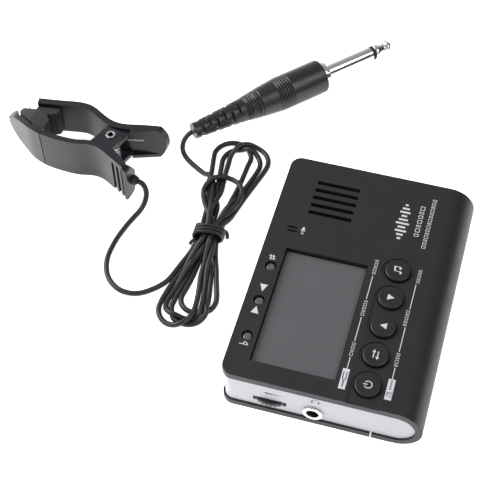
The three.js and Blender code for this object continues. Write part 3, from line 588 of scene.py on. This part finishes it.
def add_tie():
    """A plastic-covered wire wound round the strands, its two ends coming down to the table on either side.
    """
    turns, steps, flat, wire_r = 3.15, 30, 0.78, 0.72
    middle, half_x, half_z, base = -63.3, 5.7, 3.7, 0.75
    points = [(-70.2, 12.6, 0.8), (-69.9, 13.6, 1.4)]
    for i in range(int(turns * steps) + 1):
        a = math.radians(205) - 2 * math.pi * i / steps
        x = middle + half_x * math.copysign(abs(math.cos(a)) ** flat, math.cos(a))
        z = base + half_z + half_z * math.copysign(abs(math.sin(a)) ** flat, math.sin(a))
        y = 15.2 + 4.8 * i / (turns * steps) + 0.09 * (x - middle)
        points.append((x, y, z))
    points += [(-57.2, 21.0, 3.0), (-56.5, 20.2, 2.0), (-56.3, 19.4, 0.9)]
    line = smooth_line(points, 0.6)
    return wire("twist_tie", line, wire_r, "cord", "pickup", ["cord_tie"])


# ---------------------------------------------------------------- plug


PLUG_AXIS = PLUG_FRAME @ Matrix.Rotation(math.pi / 2, 4, "Y")
RELIEF_END, HANDLE_END, COLLAR_END, TIP_END = 24.4, 64, 66.8, 102
SLOT_START, SLOT_PITCH, SLOT_ROWS, SLOT_HALF = 1.4, 3.55, 6, 0.95  # the strain relief's rows of slots


def relief_radius(angle, along):
    """The strain relief's outline: a cone with staggered part-round slots that let it bend."""
    cone = 3.55 + 1.65 * (along / RELIEF_END) ** 1.15
    row = (along - SLOT_START) / SLOT_PITCH
    number = math.floor(row)
    if not 0 <= number < SLOT_ROWS:
        return cone
    across = abs(row - number - 0.5) * SLOT_PITCH
    in_row = min(1, max(0, (SLOT_HALF - across) / 0.25))
    turn = angle + (math.pi / 2 if number % 2 else 0)
    in_arc = min(1, max(0, (0.9 - abs(math.cos(turn))) / 0.08))
    return cone - in_row * in_arc * 0.34 * cone


def strain_relief():
    bm = bmesh.new()
    sides, rows = 88, 176
    rings = [[bm.verts.new(PLUG_AXIS @ Vector((0, 0, 0)))]]
    for i in range(rows + 1):
        along = RELIEF_END * i / rows
        ring = []
        for k in range(sides):
            a = 2 * math.pi * k / sides
            r = relief_radius(a, along)
            ring.append(bm.verts.new(PLUG_AXIS @ (Vector((r * math.cos(a), r * math.sin(a), along)) * MM)))
        rings.append(ring)
    rings.append([bm.verts.new(PLUG_AXIS @ Vector((0, 0, RELIEF_END * MM)))])
    join_rings(bm, rings, sides)
    bmesh.ops.recalc_face_normals(bm, faces=bm.faces)
    mesh = finished(bm, "strain_relief", 50)
    return add_piece("strain_relief", mesh, "plug", "pickup", ["plug_relief"])


def handle_profile():
    """The handle swells from the strain relief to the collar, with two bands of fine ring grooves."""
    start = RELIEF_END + 0.3
    profile = [(0, start), (5.0, start), (5.3, start + 0.3)]
    grooves = [start + 0.9 + 1.2 * i for i in range(6)] + [start + 15.6 + 1.25 * i for i in range(6)]
    along = start + 0.45
    while along < HANDLE_END - 1.2:
        share = (along - start) / 17.5
        radius = 5.3 + 2.15 * min(1, share) ** 0.85
        near = min(abs(along - g) for g in grooves)
        profile.append((radius - 0.42 * max(0, 1 - near / 0.42), along))
        along += 0.21
    return profile + arc(6.6, HANDLE_END - 0.85, 0.85, 0, 90) + [(0, HANDLE_END)]


def plug_pieces():
    relief = strain_relief()
    grip = turned_mesh("plug_grip", handle_profile(), PLUG_AXIS)
    handle = add_piece("plug_grip", grip, "plug", "pickup", ["plug_handle"])
    neck = TIP_END - 11.8
    body = [(0, HANDLE_END + 0.3), (5, HANDLE_END + 0.3), (5.2, HANDLE_END + 0.5), (5.2, COLLAR_END - 0.5)]
    body += arc(4.7, COLLAR_END - 0.5, 0.5, 0, 90) + [(3.4, COLLAR_END), (3.18, COLLAR_END + 0.2)]
    body += [(3.18, neck - 0.25), (2.95, neck), (0, neck)]
    pin = turned_mesh("jack_sleeve", body, PLUG_AXIS)
    sleeve = add_piece("jack_sleeve", pin, "sleeve", "pickup", ["plug_sleeve"])
    ring = [(0, neck + 0.05), (3.0, neck + 0.05), (3.15, neck + 0.2), (3.15, neck + 1.25), (3.0, neck + 1.4),
            (0, neck + 1.4)]
    band = turned_mesh("jack_ring", ring, PLUG_AXIS)
    collar = add_piece("jack_ring", band, "dark", "pickup", ["plug_insulator"])
    tip = [(0, 10.3), (2.95, 10.3), (3.17, 10.1), (3.17, 8.7), (3.0, 8.2), (2.5, 6.4), (2.22, 5.7),
           (2.22, 5.2), (2.5, 4.7), (2.95, 4.1), (3.12, 3.7), (3.1, 3.3), (2.9, 2.9), (1.35, 0.6),
           (0.75, 0.1), (0, 0)]
    point = turned_mesh("jack_tip", [(r, TIP_END - z) for r, z in tip], PLUG_AXIS, smooth_angle=50)
    end = add_piece("jack_tip", point, "chrome", "pickup", ["plug_tip"])
    return [relief, handle, sleeve, collar, end]


# ---------------------------------------------------------------- tuner


def on_outer_rim(edge):
    """Edges round the outside of the top cover: the flat top's rim and the ends of the spine."""
    low, high = COVER_BOX
    half = (high.z - low.z) / 2
    spine_x = high.x - half
    corner = 4.5 * MM
    for v in edge.verts:
        x, y, z = v.co
        into = max(abs(y) - (high.y - corner), 0), max(low.x + corner - x, 0)
        on_plan = abs(math.hypot(*into) - corner) < 5e-5
        on_spine = x > spine_x - 1e-5 and math.hypot(x - spine_x, z - half) > half - 5e-5
        if not on_plan or not (z > high.z - 5e-4 or on_spine):
            return False
    return True


BUTTON_R = 4.8
MARK_SINK = 0.055  # how far a key's symbol lies under its highest point, since the top is slightly dished


def button_profile(top, foot, radius):
    edge = 0.55
    profile = [(0, foot), (radius + 0.6, foot), (radius + 0.6, foot + 0.5), (radius, foot + 0.5)]
    profile += arc(radius - edge, top - edge, edge, 0, 90, 6)
    return profile + [(radius * 0.55, top - 0.05), (0, top - 0.1)]


def button_marks():
    """White symbols on the keys: notes, down, up, a pair of arrows for the mode key and the power sign."""
    wedge = [polygon([(-1.35, -1.25), (1.35, -1.25), (0, 1.35)])]
    flipped = [polygon([(1.35, 1.25), (-1.35, 1.25), (0, -1.35)])]
    heads = [polygon(curve_points(-1.05, -1.15, 0.62, 0.45, 20, 362, 18)),
             polygon(curve_points(1.0, -0.75, 0.62, 0.45, 20, 362, 18))]
    stems = [ribbon([(-0.55, -1.1), (-0.55, 1.1)], 0.28), ribbon([(1.5, -0.7), (1.5, 1.5)], 0.28)]
    beam = [polygon([(-0.69, 0.75), (1.64, 1.15), (1.64, 1.75), (-0.69, 1.35)])]
    power = [ribbon(curve_points(0, -0.1, 1.4, 1.4, 125, 415, 28), 0.36), ribbon([(0, 0.1), (0, 1.7)], 0.36)]
    swap = []
    for side in (-1, 1):
        swap.append(ribbon([(-1.5 * side, 0.75 * side), (1.1 * side, 0.75 * side)], 0.42))
        head = [(0.9 * side, 0.05 * side), (2.1 * side, 0.75 * side), (0.9 * side, 1.45 * side)]
        swap.append(polygon(head))
    return [heads + stems + beam, flipped, wedge, swap, power]


def buttons():
    shapes = button_marks()
    for number, (node, body) in enumerate(zip(BUTTONS, BUTTON_BODIES)):
        low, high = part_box(node)
        centre = (low + high) / 2 / MM
        profile = button_profile(high.z / MM, low.z / MM, BUTTON_R)
        place = Matrix.Translation(Vector((centre.x, centre.y, 0)) * MM)
        mesh = turned_mesh(node + "_fine", profile, place)
        add_piece(node + "_fine", mesh, "button", body, [node])
        plane = flat_on_top(centre.x, centre.y, high.z / MM - MARK_SINK)
        marks(node + "_mark", shapes[number], plane, "print", body)


def lamps():
    for node in LAMPS:
        low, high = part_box(node)
        centre, top, foot = (low + high) / 2 / MM, high.z / MM, low.z / MM
        profile = [(0, foot), (2, foot), (2, foot + 0.8), (1.7, foot + 0.8)]
        profile += arc(1.35, top - 0.45, 0.35, 0, 75, 4) + [(0.8, top - 0.02), (0, top)]
        place = Matrix.Translation(Vector((centre.x, centre.y, 0)) * MM)
        mesh = turned_mesh(node + "_fine", profile, place, 48)
        add_piece(node + "_fine", mesh, "lamp", "case", [node])


def word(length, height, count, seed):
    """A row of small open boxes, where the real object has a word."""
    widths = [1 + 0.35 * math.sin(seed + 2.4 * i) for i in range(count)]
    gap = 0.3 * length / count
    unit = (length - gap * (count - 1)) / sum(widths)
    stroke = 0.19 * height
    top = (height - stroke) / 2
    row, at = [], -length / 2
    for w in widths:
        x0, x1 = at + stroke / 2, at + w * unit - stroke / 2
        row.append(ribbon([(x0, -top), (x1, -top), (x1, top), (x0, top)], stroke, closed=True))
        at += w * unit + gap
    return row


def top_print():
    top = TOP / MM
    label_y = -43.4
    rows = [  # words as x, y, length, height and number of boxes
        ("word_1", 6.5, 7.2, 6.8, 1.3, 5), ("word_2", 6.5, -12.1, 7.0, 1.3, 5),
        ("word_3", 6.4, -30.6, 5.8, 1.3, 4), ("word_4", 23.3, 7.2, 6.2, 1.3, 5),
        ("word_5", 22.5, -12.3, 7.0, 1.3, 5), ("word_6", 22.9, -30.7, 5.8, 1.3, 4),
        ("model_bar", 18.3, 33, 15.2, 1.9, 7), ("title_bar", 22.1, 32.8, 24.6, 1.6, 15),
    ]
    for seed, (name, x, y, length, height, count) in enumerate(rows):
        marks(name, word(length, height, count, seed), flat_on_top(x, y, top), "print", "case")
    flat = flat_on_top(0, 0, top, turned=False)
    for name, x, runs in (("left_rule", 6.4, [(3, -7.9), (-16.3, -27.0), (-34.1, -39.2)]),
                          ("right_rule", 22.9, [(3.4, -8.1), (-16.4, -27.1), (-34.2, -39.2)])):
        lines = [block(x - 0.16, x + 0.16, low, high) for high, low in runs]
        marks(name, lines, flat, "print", "case")
    for name, x in (("tuner_label", 6.3), ("metronome_label", 23.0)):
        plate = [block(-4.3, 4.3, -1.25, 1.25)]
        marks(name, plate, flat_on_top(x, label_y, top), "print", "case")
    fork = [ribbon([(-3.4, 0), (-0.6, 0)], 0.42),
            ribbon([(3.0, 0.6), (0.4, 0.6), (-0.5, 0.35), (-0.75, 0), (-0.5, -0.35), (0.4, -0.6),
                    (3.0, -0.6)], 0.36)]
    marks("tuner_sign", fork, flat_on_top(6.3, label_y, top + PRINT_THICK), "ink", "case")
    beat = [ribbon([(-3.2, -0.85), (-2.5, 0.8), (-1.7, 0.8), (-1.0, -0.85)], 0.26, closed=True),
            ribbon([(-2.1, -0.6), (-1.2, 0.7)], 0.22)]
    beat += [disc(0.3 + 1.05 * i, 0, 0.36, 16) for i in range(4)]
    marks("metronome_sign", beat, flat_on_top(23.0, label_y, top + PRINT_THICK), "ink", "case")
    bars = [1.4, 2.6, 4.4, 3.0, 5.2, 3.6, 2.2, 4.0, 2.8, 1.2]
    wave = [block(1.85 * i - 8.9, 1.85 * i - 8.0, -h / 2, h / 2) for i, h in enumerate(bars)]
    marks("wave_sign", wave, flat_on_top(12.0, 31.4, top), "print", "case")
    mic = [polygon(curve_points(0.5, 0, 0.95, 0.5, 0, 340, 16)),
           ribbon(curve_points(0.5, 0, 1.5, 0.85, 100, 260, 12), 0.2),
           ribbon([(-1.0, 0), (-1.9, 0)], 0.24), ribbon([(-1.9, -0.6), (-1.9, 0.6)], 0.24)]
    marks("mic_sign", mic, flat_on_top(-24.3, 17.0, top), "print", "case")


def lamp_signs():
    top = TOP / MM
    down = [polygon([(-1.5, 1.6), (1.5, 1.6), (0, -1.7)])]
    up = [polygon([(-1.5, -1.6), (1.5, -1.6), (0, 1.7)])]
    marks("flat_arrow", down, flat_on_top(-32, -13.2, top, turned=False), "print", "case")
    marks("sharp_arrow", up, flat_on_top(-32.1, -23.4, top, turned=False), "print", "case")
    sharp = [ribbon([(-0.75, -1.35), (-0.75, 1.1)], 0.28), ribbon([(0.35, -1.1), (0.35, 1.35)], 0.28),
             ribbon([(-1.35, -0.75), (1.0, -0.25)], 0.42), ribbon([(-1.35, 0.3), (1.0, 0.8)], 0.42)]
    marks("sharp_sign", sharp, flat_on_top(-32.4, 1.5, top), "print", "case")
    flat = [ribbon([(-0.5, -1.4), (-0.5, 1.9)], 0.3),
            ribbon([(-0.5, 0.1), (0.3, 0.35), (0.65, -0.1), (0.3, -0.8), (-0.5, -1.35)], 0.32)]
    marks("flat_sign", flat, flat_on_top(-32.0, -38.5, top), "print", "case")


def front_signs():
    dots = [disc(3.4 - 0.95 * i, 0, 0.16 + 0.055 * i, 16) for i in range(8)]
    marks("volume_sign", dots, flat_on_front(-17.0, 12.4), "ink", "case")
    phones = [ribbon(curve_points(0, 0, 1.35, 1.35, 170, 10, 14), 0.26),
              ribbon([(-1.3, 0.1), (-1.15, -1.0)], 0.62), ribbon([(1.3, 0.1), (1.15, -1.0)], 0.62)]
    marks("phones_sign", phones, flat_on_front(-1.9, 14.4), "ink", "case")


def tuner():
    softened("top_cover", "shell", "case", 0.22, first=on_outer_rim, first_width=0.75)
    softened("stand_flap", "shell", "stand", 0.5, 3)
    softened("inner_case", "case", "case", 0.25)
    softened("lcd_window", "window", "case", 0.12)
    softened("volume_wheel", "button", "volume", 0.08)
    softened("phones_jack_ring", "chrome", "case", 0.18)
    softened("input_jack_nut", "chrome", "case", 0.2)
    softened("battery_door", "case", "door", 0.15)
    buttons()
    lamps()
    top_print()
    lamp_signs()
    front_signs()


# ---------------------------------------------------------------- clip


def spring():
    """The coil and its lower leg stay with the lower arm; the upper leg turns with the upper arm."""
    radius, low, high, turns, start, leg = 2.9, 5.6, 14.4, 5.378, -112, 13
    wire_r, steps = 0.4, 130
    clear = 0.02  # the upper leg starts this share of its length away from the coil
    local = CLIP_FRAME.copy()
    local.translation /= MM
    angles = [math.radians(start - 360 * turns * i / steps) for i in range(steps + 1)]
    rise = (high - low) / steps
    coil = [(radius * math.cos(a), radius * math.sin(a), low + rise * i) for i, a in enumerate(angles)]
    away = Vector((-math.sin(angles[0]), math.cos(angles[0]), 0)) * leg
    lower = [local @ Vector(p) for p in (Vector(coil[0]) + away, *coil)]
    away = Vector((math.sin(angles[-1]), -math.cos(angles[-1]), 0)) * leg
    upper = [local @ p for p in (Vector(coil[-1]) + clear * away, Vector(coil[-1]) + away)]
    wire("spring_coil", lower, wire_r, "steel", "pickup", ["torsion_spring"])
    wire("spring_upper_leg", upper, wire_r, "steel", "clip_jaw")


def clip():
    softened("clip_lower_arm", "clip", "pickup", 0.45, 3)
    softened("clip_upper_arm", "clip", "clip_jaw", 0.45, 3)
    softened("pickup_cover", "clip", "pickup", 0.45, 3)
    softened("lower_jaw_pad", "pad", "pickup", 0.2)
    softened("upper_jaw_pad", "pad", "clip_jaw", 0.2)
    softened("pivot_rivet", "chrome", "pickup", 0.1)
    spring()
    softened("cord_gland", "pad", "pickup", 0.2)


camera()
studio()
paint_nodes()
cord = add_cord()
tie = add_tie()
on_cord = plug_pieces()
tuner()
clip()
